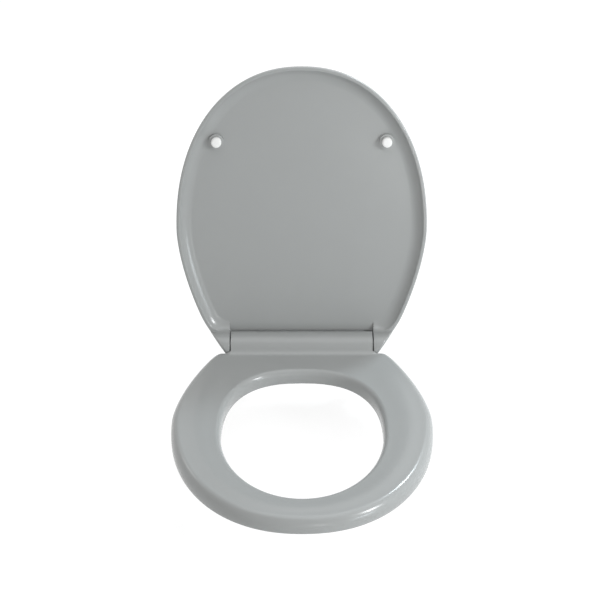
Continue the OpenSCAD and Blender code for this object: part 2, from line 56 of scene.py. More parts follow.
class SeatForm(bpy.types.PropertyGroup):
    """Sizes of the ring, the lid and the lid's bumpers"""

    seat_w: bpy.props.FloatProperty(
        name="Width", description="Overall width of the ring and the lid", default=0.375, unit="LENGTH")
    front_reach: bpy.props.FloatProperty(
        name="Front reach", description="Hinge axis to the front tip", default=0.430, unit="LENGTH")
    widest_at: bpy.props.FloatProperty(
        name="Widest at", description="Hinge axis to the widest place", default=0.183, unit="LENGTH")
    front_power: bpy.props.FloatProperty(
        name="Front squareness", description="Power of the front curve, where 2 is an ellipse", default=2.17)
    rear_reach: bpy.props.FloatProperty(
        name="Rear reach", description="Length that the ring's rear curve would run to its own end",
        default=0.286, unit="LENGTH")
    lid_rear_reach: bpy.props.FloatProperty(
        name="Lid rear reach", description="Length that the lid's rear curve would run to its own end",
        default=0.311, unit="LENGTH")
    rear_power: bpy.props.FloatProperty(
        name="Rear squareness", description="Power of the rear curve, where 2 is an ellipse", default=1.57)
    corner_r: bpy.props.FloatProperty(
        name="Corner softness", description="Softness of the ring's rear corners",
        default=0.030, unit="LENGTH")
    ring_rear: bpy.props.FloatProperty(
        name="Ring rear", description="Hinge axis to the ring's straight rear line",
        default=0.004, unit="LENGTH")
    hole_w: bpy.props.FloatProperty(
        name="Opening width", description="Width of the opening in the ring", default=0.231, unit="LENGTH")
    hole_front: bpy.props.FloatProperty(
        name="Opening front", description="Hinge axis to the front end of the opening",
        default=0.376, unit="LENGTH")
    hole_rear: bpy.props.FloatProperty(
        name="Opening rear", description="Hinge axis to the rear end of the opening",
        default=0.073, unit="LENGTH")
    hole_widest_at: bpy.props.FloatProperty(
        name="Opening widest at", description="Hinge axis to the widest place of the opening",
        default=0.221, unit="LENGTH")
    hole_rear_power: bpy.props.FloatProperty(
        name="Opening squareness", description="Power of the opening's rear curve", default=2.5)
    axis_h: bpy.props.FloatProperty(
        name="Hinge height", description="Height of the hinge axis over the bowl",
        default=0.030, unit="LENGTH")
    ring_h: bpy.props.FloatProperty(
        name="Ring height", description="Height of the ring", default=0.0235, unit="LENGTH")
    ring_rise: bpy.props.FloatProperty(
        name="Ring top", description="Height of the ring's top over the hinge axis",
        default=0.0035, unit="LENGTH")
    ring_crown: bpy.props.FloatProperty(
        name="Ring crown", description="Crown of the ring's top", default=0.0012, unit="LENGTH")
    ring_t: bpy.props.FloatProperty(
        name="Ring wall", description="Wall thickness of the ring", default=0.004, unit="LENGTH")
    shoulder_run: bpy.props.FloatProperty(
        name="Shoulder width", description="Width of the ring's outer rounding", default=0.013, unit="LENGTH")
    shoulder_rise: bpy.props.FloatProperty(
        name="Shoulder height", description="Height of the ring's outer rounding",
        default=0.017, unit="LENGTH")
    lip_run: bpy.props.FloatProperty(
        name="Lip width", description="Width of the rounding at the opening", default=0.009, unit="LENGTH")
    lip_rise: bpy.props.FloatProperty(
        name="Lip height", description="Height of the rounding at the opening", default=0.010, unit="LENGTH")
    block_len: bpy.props.FloatProperty(
        name="Block length", description="Length of the hinge block between the ears",
        default=0.215, unit="LENGTH")
    block_r: bpy.props.FloatProperty(
        name="Block radius", description="Outer radius of the hinge block", default=0.023, unit="LENGTH")
    block_t: bpy.props.FloatProperty(
        name="Block wall", description="Wall thickness of the hinge block", default=0.004, unit="LENGTH")
    end_t: bpy.props.FloatProperty(
        name="Block end wall", description="Thickness of the block's end walls",
        default=0.005, unit="LENGTH")
    bore_r: bpy.props.FloatProperty(
        name="Bore radius", description="Radius of the bores for the bushes",
        default=0.0056, unit="LENGTH")
    fillet_r: bpy.props.FloatProperty(
        name="Block fillet", description="Radius of the hollow fillet from the block to the ring",
        default=0.012, unit="LENGTH")
    lid_open: bpy.props.FloatProperty(
        name="Lid angle", description="Angle of the open lid from the closed one",
        default=math.radians(102), subtype="ANGLE")
    rim_rise: bpy.props.FloatProperty(
        name="Rim height", description="Height of the closed lid's rim over the hinge axis",
        default=0.005, unit="LENGTH")
    hollow_depth: bpy.props.FloatProperty(
        name="Hollow depth", description="Depth of the lid's hollow", default=0.0105, unit="LENGTH")
    lid_t: bpy.props.FloatProperty(
        name="Lid wall", description="Wall thickness of the lid over its hollow",
        default=0.004, unit="LENGTH")
    rim_w: bpy.props.FloatProperty(
        name="Rim width", description="Width of the lid's flat rim", default=0.005, unit="LENGTH")
    rim_round: bpy.props.FloatProperty(
        name="Rim rounding", description="Rounding of the rim's outer edge",
        default=0.0022, unit="LENGTH")
    slope_w: bpy.props.FloatProperty(
        name="Slope width", description="Width of the slope from the rim into the hollow",
        default=0.019, unit="LENGTH")
    rear_slope_w: bpy.props.FloatProperty(
        name="Rear slope width", description="Width of the same slope at the rear corners",
        default=0.014, unit="LENGTH")
    mouth_corner_r: bpy.props.FloatProperty(
        name="Hollow corner softness", description="Softness of the rear corners of the lid's hollow",
        default=0.018, unit="LENGTH")
    wall_h: bpy.props.FloatProperty(
        name="Lid side", description="Height of the lid's side wall", default=0.006, unit="LENGTH")
    edge_run: bpy.props.FloatProperty(
        name="Lid edge", description="Width of the rounding from the side to the lid's top",
        default=0.018, unit="LENGTH")
    lid_crown: bpy.props.FloatProperty(
        name="Lid crown", description="Crown of the lid's top", default=0.004, unit="LENGTH")
    lid_edge_r: bpy.props.FloatProperty(
        name="Lid rear edge", description="Radius of the lid's rear edge about the hinge axis",
        default=0.026, unit="LENGTH")
    mouth_rear: bpy.props.FloatProperty(
        name="Hollow rear", description="Hinge axis to the rear end of the hollow",
        default=0.026, unit="LENGTH")
    ear_r: bpy.props.FloatProperty(
        name="Ear radius", description="Radius of the lid's ears", default=0.022, unit="LENGTH")
    ear_out: bpy.props.FloatProperty(
        name="Ear reach", description="Half the width over the ears at the hinge axis",
        default=0.1248, unit="LENGTH")
    ear_slant: bpy.props.FloatProperty(
        name="Ear slant", description="Angle of the ears' outer faces to the lid's middle",
        default=math.radians(33.4), subtype="ANGLE")
    ear_lean: bpy.props.FloatProperty(
        name="Ear lean", description="Lean of the ears' outer faces below the rim",
        default=math.radians(11.8), subtype="ANGLE")
    ear_round: bpy.props.FloatProperty(
        name="Ear rounding", description="Rounding of an ear's outer edge", default=0.0045, unit="LENGTH")
    ear_gap: bpy.props.FloatProperty(
        name="Ear gap", description="Gap that shows between an ear and the block's end",
        default=0.0018, unit="LENGTH")
    pin_gap: bpy.props.FloatProperty(
        name="Pin gap", description="Gap between the same two round the pin and behind it",
        default=0.0006, unit="LENGTH")
    bumper_at: bpy.props.FloatProperty(
        name="Bumper place", description="Degrees round the lid's outline, where 90 is the front tip",
        default=35.5)
    bumper_in: bpy.props.FloatProperty(
        name="Bumper inset", description="Outer edge of the lid to the middle of a lid bumper",
        default=0.033, unit="LENGTH")
    bumper_r: bpy.props.FloatProperty(
        name="Bumper radius", description="Radius of a lid bumper",
        default=0.0075, unit="LENGTH")
    collar_r: bpy.props.FloatProperty(
        name="Collar radius", description="Radius of the collar that a lid bumper sits on",
        default=0.0115, unit="LENGTH")
    collar_h: bpy.props.FloatProperty(
        name="Collar height", description="Height of the same collar in the hollow",
        default=0.004, unit="LENGTH")


class SeatFinish(bpy.types.PropertyGroup):
    """Colours and surface of the pieces"""

    grey: bpy.props.FloatVectorProperty(
        name="Moulding", description="Colour of the ring and the lid", subtype="COLOR", size=3,
        default=(0.335, 0.345, 0.342), min=0, max=1)
    grey_rough: bpy.props.FloatProperty(
        name="Moulding roughness", description="Roughness of the ring and the lid",
        default=0.22, min=0, max=1, subtype="FACTOR")
    white: bpy.props.FloatVectorProperty(
        name="Bumpers", description="Colour of the bumpers", subtype="COLOR", size=3,
        default=(0.86, 0.86, 0.85), min=0, max=1)


def form():
    return bpy.context.scene.seat_form


# Curves of the plan: x across, s in front of the hinge axis, and n for a height over it

def signed_power(v, p):
    return np.sign(v) * np.abs(v) ** p


def superellipse(t, half_w, mid, front, front_p, rear, rear_p):
    """Closed curve whose front and rear halves are superellipses; 90 degrees is the front tip."""
    c, s = np.cos(np.radians(t)), np.sin(np.radians(t))
    p = np.where(s >= 0, front_p, rear_p)
    reach = np.where(s >= 0, front, rear)
    return np.stack([half_w * signed_power(c, 2 / p), mid + reach * signed_power(s, 2 / p)], -1)


def outline(t):
    f = form()
    return superellipse(t, f.seat_w / 2, f.widest_at, f.front_reach - f.widest_at, f.front_power,
                        f.rear_reach, f.rear_power)


def ear_face(s, n):
    """Half width of the lid at the slanted outer face of the ears."""
    f = form()
    lean = math.tan(f.ear_lean) / math.cos(f.ear_slant)
    return f.ear_out + s * math.tan(f.ear_slant) - np.maximum(f.rim_rise - n, 0) * lean


def lid_outline(t):
    """Outline of the lid, which the ears' outer faces narrow at the rear."""
    f = form()
    p = superellipse(t, f.seat_w / 2, f.widest_at, f.front_reach - f.widest_at, f.front_power,
                     f.lid_rear_reach, f.rear_power)
    blend = 0.003
    half = -soft_max(-np.abs(p[..., 0]), -ear_face(p[..., 1], f.rim_rise), blend)
    return np.stack([np.sign(p[..., 0]) * half, p[..., 1]], -1)


def opening(t):
    f = form()
    ellipse = 2.0
    return superellipse(t, f.hole_w / 2, f.hole_widest_at, f.hole_front - f.hole_widest_at, ellipse,
                        f.hole_widest_at - f.hole_rear, f.hole_rear_power)


def soft_max(a, b, k):
    """The larger of two values, blended where they are closer than k."""
    h = np.maximum(k - np.abs(a - b), 0) / k
    return np.maximum(a, b) + h * h * k / 4


def inset_outline(t, inset, rear, soft, curve=outline):
    """A curve at a distance inside the edge, kept in front of a straight rear line."""
    d = curve(t + 0.5) - curve(t - 0.5)
    d /= np.linalg.norm(d, axis=-1, keepdims=True)
    p = curve(t) + inset * np.stack([-d[..., 1], d[..., 0]], -1)
    return np.stack([p[..., 0], soft_max(p[..., 1], rear, soft)], -1)


def stations():
    """Angles round the outline, closer together where the rear corners turn, 256 in all."""
    right = np.concatenate([np.linspace(-90, -66, 5), np.linspace(-63, -32.6, 56), np.linspace(-32, 90, 68)])
    return np.concatenate([right, 180 - right[-2:0:-1]])


# Modelling helpers

# Past all that a moulding has behind, beside, over or under the hinge
FAR = 0.3


def clear_selection():
    if bpy.context.object and bpy.context.object.mode != "OBJECT":
        bpy.ops.object.mode_set(mode="OBJECT")
    bpy.ops.object.select_all(action="DESELECT")


def only(ob):
    clear_selection()
    ob.select_set(True)
    bpy.context.view_layer.objects.active = ob


def named(name):
    ob = bpy.context.object
    ob.name = name
    ob.data.name = name
    return ob


def place(ob, points):
    """Moves a primitive's vertices to their places on the form."""
    ob.location = (0, 0, 0)
    ob.data.vertices.foreach_set("co", np.asarray(points, dtype=np.float32).ravel())
    ob.data.update()


def face_outwards(ob):
    only(ob)
    bpy.ops.object.mode_set(mode="EDIT")
    bpy.ops.mesh.select_all(action="SELECT")
    bpy.ops.mesh.normals_make_consistent(inside=False)
    bpy.ops.object.mode_set(mode="OBJECT")


def extruded(name, corners, step):
    """Extrudes a flat outline of 3-D corners by one step."""
    clear_selection()
    bpy.ops.mesh.primitive_circle_add(vertices=len(corners), fill_type="NGON")
    ob = named(name)
    place(ob, corners)
    bpy.ops.object.mode_set(mode="EDIT")
    bpy.ops.mesh.select_all(action="SELECT")
    bpy.ops.mesh.extrude_region_move(TRANSFORM_OT_translate={"value": step})
    face_outwards(ob)
    return ob


def across(name, profile, x0, x1):
    """Extrudes a profile of distance and height from the hinge axis along X."""
    z = form().axis_h
    return extruded(name, [(x0, -s, z + n) for s, n in profile], (x1 - x0, 0, 0))


def upright(name, plan, z0, z1):
    """Extrudes a plan of x and distance upwards between two heights from the hinge axis."""
    z = form().axis_h
    return extruded(name, [(x, -s, z + z0) for x, s in plan], (0, 0, z1 - z0))


def slab(name, x, s, n):
    """A box between two places each way."""
    return across(name, [(s[0], n[0]), (s[1], n[0]), (s[1], n[1]), (s[0], n[1])], x[0], x[1])


def barrel(name, r, x0, x1, sides=128):
    """A cylinder on the hinge axis."""
    clear_selection()
    bpy.ops.mesh.primitive_cylinder_add(
        vertices=sides, radius=r, depth=x1 - x0, location=((x0 + x1) / 2, 0, form().axis_h),
        rotation=(0, math.pi / 2, 0))
    ob = named(name)
    bpy.ops.object.transform_apply(location=True, rotation=True, scale=True)
    return ob


def upright_cylinder(name, r, x, s, n0, n1):
    """A cylinder that stands at a place of the plan, between two heights."""
    clear_selection()
    bpy.ops.mesh.primitive_cylinder_add(
        vertices=64, radius=r, depth=n1 - n0, location=(x, -s, form().axis_h + (n0 + n1) / 2))
    ob = named(name)
    bpy.ops.object.transform_apply(location=True, rotation=True, scale=True)
    return ob


def turned(name, profile, x, s):
    """A profile of radius and height, spun about an upright axis at a place."""
    z = form().axis_h
    clear_selection()
    bpy.ops.mesh.primitive_circle_add(vertices=len(profile), fill_type="NOTHING")
    ob = named(name)
    place(ob, [(x + r, -s, z + n) for r, n in profile])
    bpy.ops.object.mode_set(mode="EDIT")
    bpy.ops.mesh.select_all(action="SELECT")
    bpy.ops.mesh.spin(steps=64, angle=2 * math.pi, center=(x, -s, 0), axis=(0, 0, 1))
    bpy.ops.mesh.select_all(action="SELECT")
    bpy.ops.mesh.remove_doubles(threshold=1e-6)
    bpy.ops.mesh.dissolve_degenerate(threshold=1e-7)
    bpy.ops.mesh.delete_loose(use_verts=True, use_edges=True, use_faces=False)
    face_outwards(ob)
    return ob


def mirrored(ob):
    """A mirror copy on the other side of the middle plane."""
    only(ob)
    bpy.ops.object.duplicate(linked=False)
    other = bpy.context.object
    other.scale = (-1, 1, 1)
    bpy.ops.object.transform_apply(location=True, rotation=True, scale=True)
    face_outwards(other)
    return other


def both(ob):
    return [ob, mirrored(ob)]


def laid_on_ball(name, rings, top, bottom):
    """A ball whose rings are laid on rings of (x, distance, height), with a point at each end."""
    n, m = len(rings[0]), len(rings)
    clear_selection()
    bpy.ops.mesh.primitive_uv_sphere_add(
        segments=n, ring_count=m + 1, radius=1.0, align="WORLD", location=(0, 0, 0))
    ob = named(name)
    co = np.empty(len(ob.data.vertices) * 3, dtype=np.float32)
    ob.data.vertices.foreach_get("co", co)
    co = co.reshape(-1, 3)
    row = np.rint(np.degrees(np.arccos(np.clip(co[:, 2], -1, 1))) / (180.0 / (m + 1))).astype(int)
    column = np.rint(np.degrees(np.arctan2(co[:, 1], co[:, 0])) / (360.0 / n)).astype(int) % n
    stack = np.concatenate([np.tile(top, (1, n, 1)), np.array(rings)[:, ::-1], np.tile(bottom, (1, n, 1))])
    x, s, z = stack[row, column].T
    place(ob, np.column_stack([x, -s, form().axis_h + z]))
    face_outwards(ob)
    return ob


def coat(ob, mat):
    """Gives a piece one material all over."""
    ob.data.materials.clear()
    ob.data.materials.append(mat)


def combine(target, tools, operation):
    """Joins solids to a piece, or cuts them out of it, in one boolean."""
    group = bpy.data.collections.new("tools")
    bpy.context.scene.collection.children.link(group)
    for tool in tools:
        group.objects.link(tool)
    only(target)
    step = target.modifiers.new("combine", "BOOLEAN")
    step.operation = operation
    step.operand_type = "COLLECTION"
    step.collection = group
    step.solver = "MANIFOLD"
    bpy.ops.object.modifier_apply(modifier=step.name)
    clear_selection()
    for tool in tools:
        tool.select_set(True)
    bpy.ops.object.delete()
    bpy.data.collections.remove(group)
    only(target)


def arc(cs, cn, r, a0, a1, steps):
    """Points of an arc about (cs, cn), angles in degrees."""
    return [(cs + r * math.cos(math.radians(a)), cn + r * math.sin(math.radians(a)))
            for a in np.linspace(a0, a1, steps + 1)]


# The ring

# Where the lugs and the posts of the hinge stand along the axis
LUG_IN, LUG_OUT = 0.0585, 0.0635
POST_IN, POST_OUT = 0.068, 0.087


def ring_levels():
    """Heights of the ring's foot and of its top beside the crown, from the hinge axis."""
    f = form()
    return f.ring_rise - f.ring_h, f.ring_rise - f.ring_crown


def under_shoulder(depth, angles):
    """Points inside the ring's outer rounding, at a depth from its skin."""
    f = form()
    middle = ring_levels()[1] - f.shoulder_rise
    return [(depth + (f.shoulder_run - depth) * (1 - math.cos(a)),
             middle + (f.shoulder_rise - depth) * math.sin(a)) for a in angles]


def under_lip(length, depth, angles):
    """Points inside the rounding at the opening, at a depth from its skin."""
    f = form()
    middle = ring_levels()[1] - f.lip_rise
    return [(length - depth - (f.lip_run - depth) * (1 - math.cos(a)),
             middle + (f.lip_rise - depth) * math.sin(a)) for a in angles]


def ring_section(length, crown):
    """Closed section of the ring: distance from the outer edge, height from the hinge axis."""
    f = form()
    foot, side = ring_levels()
    flat, edge = length - f.shoulder_run - f.lip_run, 0.0012
    outer = [(f.shoulder_run * (1 - math.cos(a)), side - f.shoulder_rise * (1 - math.sin(a)))
             for a in np.linspace(0, math.pi / 2, 22)]
    top = [(f.shoulder_run + flat * u, side + crown * math.sin(math.pi * u) ** 2)
           for u in np.linspace(0, 1, 19)[1:-1]]
    lip = [(length - f.lip_run * (1 - math.cos(a)), side - f.lip_rise * (1 - math.sin(a)))
           for a in np.linspace(math.pi / 2, 0, 18)]
    foot_out = [(edge * (1 - math.cos(a)), foot + edge * (1 - math.sin(a)))
                for a in (math.pi / 2, math.pi / 4, 0)]
    foot_in = [(length - x, z) for x, z in foot_out[::-1]]
    inside = [(length - f.ring_t, foot)]
    inside += under_lip(length, f.ring_t, np.linspace(0, math.pi / 2, 7))
    inside += under_shoulder(f.ring_t, np.linspace(math.pi / 2, 0, 9))
    return foot_out + outer + top + lip + foot_in + inside + [(f.ring_t, foot)]


def ring_crown_at(s):
    """Crown of the ring's top, which fades out towards the hinge block."""
    gone, full = 0.045, 0.105
    k = min(max((s - gone) / (full - gone), 0), 1)
    return form().ring_crown * k * k * (3 - 2 * k)


def ring_body():
    """A torus whose sections are laid between the outline and the opening."""
    f = form()
    angles = stations()
    p = inset_outline(angles, 0, f.ring_rear, f.corner_r)
    q = opening(angles)
    points = []
    for a, b in zip(p[::-1], q[::-1]):
        length = np.linalg.norm(b - a)
        d = (b - a) / length
        for r, z in ring_section(length, ring_crown_at((a[1] + b[1]) / 2)):
            points.append((a[0] + d[0] * r, -(a[1] + d[1] * r), f.axis_h + z))
    clear_selection()
    bpy.ops.mesh.primitive_torus_add(
        major_segments=len(angles), minor_segments=len(points) // len(angles),
        major_radius=f.front_reach / 2, minor_radius=f.ring_h / 2)
    ob = named("seat_ring_moulding")
    place(ob, points)
    face_outwards(ob)
    return ob


def fillet_data():
    """Centre of the hollow fillet, and the angle at which it leaves the block."""
    f = form()
    cn = ring_levels()[1] + f.fillet_r
    cs = math.sqrt((f.block_r + f.fillet_r) ** 2 - cn ** 2)
    return cs, cn, 180 + math.degrees(math.atan2(cn, cs))


def flare():
    """The fillet turned round the block's end by a spin."""
    f = form()
    cs, cn, start = fillet_data()
    leaves = f.block_r * cs / (f.block_r + f.fillet_r)
    sunk = 0.010
    low = f.ring_rise - sunk
    rim = [(max(s - leaves, 0.0), n) for s, n in arc(cs, cn, f.fillet_r, start, 270, 16)]
    rim = [(0.0, rim[0][1])] + [p for p in rim if p[0] > 1e-5]
    return turned("flare", [(0.0, low)] + rim + [(rim[-1][0], low)], f.block_len / 2, leaves)


def stadium(length, width, turn, x, s):
    """Plan of a slot with round ends, turned and moved."""
    end, r = (length - width) / 2, width / 2
    points = arc(end, 0, r, -90, 90, 16) + arc(-end, 0, r, 90, 270, 16)
    c, d = math.cos(turn), math.sin(turn)
    return [(x + a * c - b * d, s + a * d + b * c) for a, b in points]


def foot_places():
    """Middle and direction of each long bumper under the right half of the ring."""
    for angle in (57.0, -20.0):
        a, b = outline(np.array(angle)), opening(np.array(angle))
        x, s = (a + b) / 2
        yield x, s, math.atan2(b[1] - a[1], b[0] - a[0]) + math.pi / 2


def rib(angle):
    """A rib across the hollow under the ring, its edges sunk into the wall."""
    f = form()
    foot, sunk, half_t = ring_levels()[0], f.ring_t / 2, 0.0015
    a = inset_outline(np.array([angle]), 0, f.ring_rear, f.corner_r)[0]
    b = opening(np.array([angle]))[0]
    length = float(np.linalg.norm(b - a))
    d = (b - a) / length
    quarter = np.linspace(0, math.pi / 2, 7)
    profile = [(sunk, foot + sunk)] + under_shoulder(sunk, quarter)
    profile += under_lip(length, sunk, quarter[::-1]) + [(length - sunk, foot + sunk)]
    corners = [(a[0] + d[0] * r + d[1] * half_t, -(a[1] + d[1] * r - d[0] * half_t), f.axis_h + n)
               for r, n in profile]
    return extruded("rib", corners, (-2 * half_t * d[1], -2 * half_t * d[0], 0))


def block_parts():
    """The block with its fillet, and its front wall down to the ring's foot."""
    f = form()
    cs, cn, start = fillet_data()
    half, foot, low = f.block_len / 2, ring_levels()[0], -0.005
    shell = arc(cs, cn, f.fillet_r, 270, start, 20) + arc(0, 0, f.block_r, start - 180, 360, 110)[1:]
    shell += [(f.block_r, low), (cs, low)]
    return [across("block", shell, -half, half),
            slab("front_wall", (-half, half), (f.block_r - f.block_t, f.block_r), (foot, 0.0))]


def corner_fills():
    """Fills under the rounded shoulder beside the block, in three steps that follow it inwards."""
    f = form()
    foot, side = ring_levels()
    x_in, s_out, lift = f.block_len / 2 - f.end_t, 0.027, 0.0004
    fills = []
    for inset, top in ((0.003, -0.008), (0.008, -0.0025), (f.shoulder_run, side - f.ring_t / 2)):
        edge = inset_outline(np.arange(-62, -30, 0.5), inset, f.ring_rear, f.corner_r)
        edge = [tuple(q) for q in edge if q[0] > x_in and q[1] < s_out]
        plan = [(x_in, edge[0][1])] + edge + [(edge[-1][0], s_out), (x_in, s_out)]
        fills.append(upright("corner_fill", plan, foot + lift, top))
    return fills


def stiffeners():
    """Ribs, bosses for the bumpers and the filled rear corners, all in the hollow under the ring."""
    f = form()
    foot, side = ring_levels()
    boss_len, boss_w, boss_lift = 0.038, 0.018, 0.002
    gains = []
    for angle in (-7.167, 18.5, 44.167, -34.0, -54.0, -72.0):
        gains += both(rib(angle))
    gains.append(rib(90.0))
    for x, s, turn in foot_places():
        plan = stadium(boss_len, boss_w, turn, x, s)
        gains += both(upright("boss", plan, foot + boss_lift, side - f.ring_t / 2))
    for fill in corner_fills():
        gains += both(fill)
    return gains


def block_hollow():
    """What is taken out of the block between its end walls, and behind it below."""
    f = form()
    end, cavity = f.block_len / 2 - f.end_t, f.block_r - f.block_t
    return [barrel("hollow", cavity, -end, end),
            slab("hollow_below", (-end, end), (-cavity, cavity), (-FAR, 0.0)),
            slab("rear_trim", (-FAR, FAR), (-FAR, 0.0), (-FAR, -f.block_r / 2))]


def block_webs():
    """Lugs for the inner bushes and webs between them, their edges sunk into the block's wall."""
    f = form()
    sunk, half_t, between = 0.0004, 0.0015, LUG_IN / 2
    r = f.block_r - f.block_t + sunk
    webs = [barrel("web", r, -half_t, half_t)]
    webs += both(barrel("lug", r, LUG_IN, LUG_OUT))
    webs += both(barrel("web", r, between - half_t, between + half_t))
    return webs


def hinge_room():
    """What is taken out of the ring for the lid's ears, the posts and the bushes."""
    f = form()
    half, post_top, before = f.block_len / 2, 0.010, 0.001
    cuts = both(barrel("ear_room", f.ear_r + f.ear_gap, half, FAR))
    cuts += both(slab("ear_room_rear", (half, FAR), (-FAR, 0.0), (-FAR, FAR)))
    cuts += both(slab("post_slot", (POST_IN, POST_OUT), (-FAR, 0.0), (-FAR, post_top)))
    cuts += both(barrel("bush_bore", f.bore_r, LUG_IN - before, FAR, sides=48))
    return cuts


class OBJECT_OT_seat_ring(bpy.types.Operator):
    """Moulds the ring with its hinge block, ribs and bosses"""
    bl_idname = "object.seat_ring"
    bl_label = "Ring and Hinge Block"
    bl_options = {"REGISTER", "UNDO"}

    def execute(self, context):
        ring = ring_body()
        combine(ring, block_parts(), "UNION")
        combine(ring, both(flare()), "UNION")
        combine(ring, stiffeners(), "UNION")
        combine(ring, block_hollow(), "DIFFERENCE")
        combine(ring, block_webs(), "UNION")
        combine(ring, hinge_room(), "DIFFERENCE")
        finish_moulding(ring)
        coat(ring, grey_moulding())
        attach(ring, "seat")
        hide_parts("seat_ring")
        return {"FINISHED"}


def finish_moulding(ob):
    """Merges what the booleans left double, and shades all but the sharp edges smooth."""
    only(ob)
    bpy.ops.object.mode_set(mode="EDIT")
    bpy.ops.mesh.select_all(action="SELECT")
    bpy.ops.mesh.remove_doubles(threshold=2e-6)
    bpy.ops.mesh.dissolve_degenerate(threshold=1e-6)
    bpy.ops.object.mode_set(mode="OBJECT")
    bpy.ops.object.shade_smooth_by_angle(angle=math.radians(28))


# The lid, modelled closed and then swung open

def lid_floor():
    """Height of the closed lid's hollow floor over the hinge axis."""
    f = form()
    return f.rim_rise + f.hollow_depth


def notch_half():
    """Half the width of the lid's notch for the hinge block."""
    f = form()
    return f.block_len / 2 + f.ear_gap


def lid_bumper_place():
    """Middle of the right lid bumper."""
    f = form()
    return inset_outline(np.array([f.bumper_at]), f.bumper_in, f.mouth_rear, f.mouth_corner_r)[0]


def lid_rings():
    """Rings of the lid from the middle of its top round the edge to the middle of its hollow."""
    f = form()
    t = stations()
    inside_box = 0.00005
    floor, side_top = lid_floor(), f.rim_rise + f.wall_h
    top = floor + f.lid_t - inside_box
    middle = np.array([0.0, f.widest_at])
    blank_rear, soft = -0.026, f.ear_r / 2
    steep = 2 * math.atan(f.hollow_depth / f.slope_w)

    def level(plan, n):
        return np.column_stack([plan, np.full(len(t), n)])

    def at(inset, n):
        return level(inset_outline(t, inset, blank_rear, soft, lid_outline), n)

    def drawn_in(ring, k, n):
        return level(middle + (ring[:, :2] - middle) * k, n)

    def slope(u, n):
        rear = f.ear_r + floor - math.sqrt(floor ** 2 - n ** 2)
        return level(inset_outline(t, f.rim_w + f.slope_w * u, rear, f.mouth_corner_r, lid_outline), n)

    def slope_height(u):
        a = math.asin((1 - u) * math.sin(steep))
        return floor - f.hollow_depth * (1 - math.cos(a)) / (1 - math.cos(steep))

    edge = at(f.edge_run, top)
    rings = [drawn_in(edge, k, top + f.lid_crown * (1 - k * k)) for k in np.linspace(0, 1, 25)[1:-1]]
    rings += [at(f.edge_run * (1 - math.cos(a)), side_top + (top - side_top) * math.sin(a))
              for a in np.linspace(math.pi / 2, 0, 20)]
    r = f.rim_round
    rings += [at(r * (1 - math.cos(a)), f.rim_rise + r * (1 - math.sin(a)))
              for a in np.linspace(0, math.pi / 2, 8)]
    rings += [at(r + (f.rim_w - r) * u, f.rim_rise) for u in (0.33, 0.66)]
    rings += [slope(u, f.rim_rise + lift) for u, lift in ((-0.03, 0.0), (0.004, 0.0003))]
    rings += [slope(u, slope_height(u)) for u in np.linspace(0.04, 1, 25)]
    floor_edge = rings[-1]
    rings += [drawn_in(floor_edge, k, floor) for k in np.linspace(1, 0, 20)[1:-1]]
    return rings, (0.0, f.widest_at, top + f.lid_crown), (0.0, f.widest_at, floor)


def ear_profile():
    """Places round an ear from the side, the way out at each, and its outer and inner rounding there."""
    f = form()
    r, floor, inner = f.ear_r, lid_floor(), 0.0008
    past_rim, behind_slope, under_side = 0.0008, 0.00004, 0.0006
    steepest = math.degrees(math.asin((f.rim_rise + past_rim) / floor))
    profile = []
    for a in np.linspace(180 - steepest, 180, 10)[:-1]:
        c, d = math.cos(math.radians(a)), math.sin(math.radians(a))
        outer = f.ear_round - (f.ear_round - f.rim_round) * d * floor / f.rim_rise
        profile.append((r + floor + floor * c - behind_slope, floor * d, -c, -d, outer, inner))
    for a in np.linspace(0, -200, 130):
        c, d = math.cos(math.radians(a)), math.sin(math.radians(a))
        profile.append((r * c, r * d, c, d, f.ear_round, inner))
    hidden = f.rim_rise + f.wall_h - under_side
    profile += [(s, hidden, 0, 0, f.rim_round, 0.0) for s in (-r * 0.2, profile[0][0])]
    return np.array(profile).T


def ear():
    """An ear that runs on into the rear slope, with its rounded, slanted outer face."""
    s, n, out_s, out_n, outer, inner = ear_profile()
    half, under_side, least = notch_half(), 0.0003, 0.0015
    rings = []
    for a in np.linspace(math.pi / 2, 0, 5):
        drawn = inner * (1 - math.cos(a))
        x = half + inner * (1 - math.sin(a))
        rings.append(np.column_stack([x, s - out_s * drawn, n - out_n * drawn]))
    for a in np.linspace(0, math.pi / 2, 9):
        drawn = outer * (1 - math.cos(a))
        s1, n1 = s - out_s * drawn, n - out_n * drawn
        x = ear_face(s1, n1) - outer * (1 - math.sin(a))
        x -= np.where(n1 >= form().rim_rise, under_side, 0.0)
        rings.append(np.column_stack([np.maximum(x, half + least), s1, n1]))
    return laid_on_ball("ear", rings, (half, 0.004, -0.004), (float(ear_face(0.0, 0.0)), 0.0, 0.0))


def break_notch_edges(lid):
    """Rounds the front edges of the walls beside the hinge block, where the slope ends."""
    f = form()
    half, near, far = notch_half(), f.ear_r + 0.0009, 0.037
    low, high = f.rim_rise + 0.0002, lid_floor() - 0.0004
    only(lid)
    bpy.ops.object.mode_set(mode="EDIT")
    bpy.ops.mesh.select_mode(type="EDGE")
    bpy.ops.mesh.select_all(action="DESELECT")
    bpy.ops.object.mode_set(mode="OBJECT")
    for edge in lid.data.edges:
        ends = [lid.data.vertices[i].co for i in edge.vertices]
        edge.select = all(abs(abs(v.x) - half) < 1e-5 and near < -v.y < far
                          and low < v.z - f.axis_h < high for v in ends)
    bpy.ops.object.mode_set(mode="EDIT")
    bpy.ops.mesh.bevel(offset=0.0008, segments=3)
    bpy.ops.object.mode_set(mode="OBJECT")


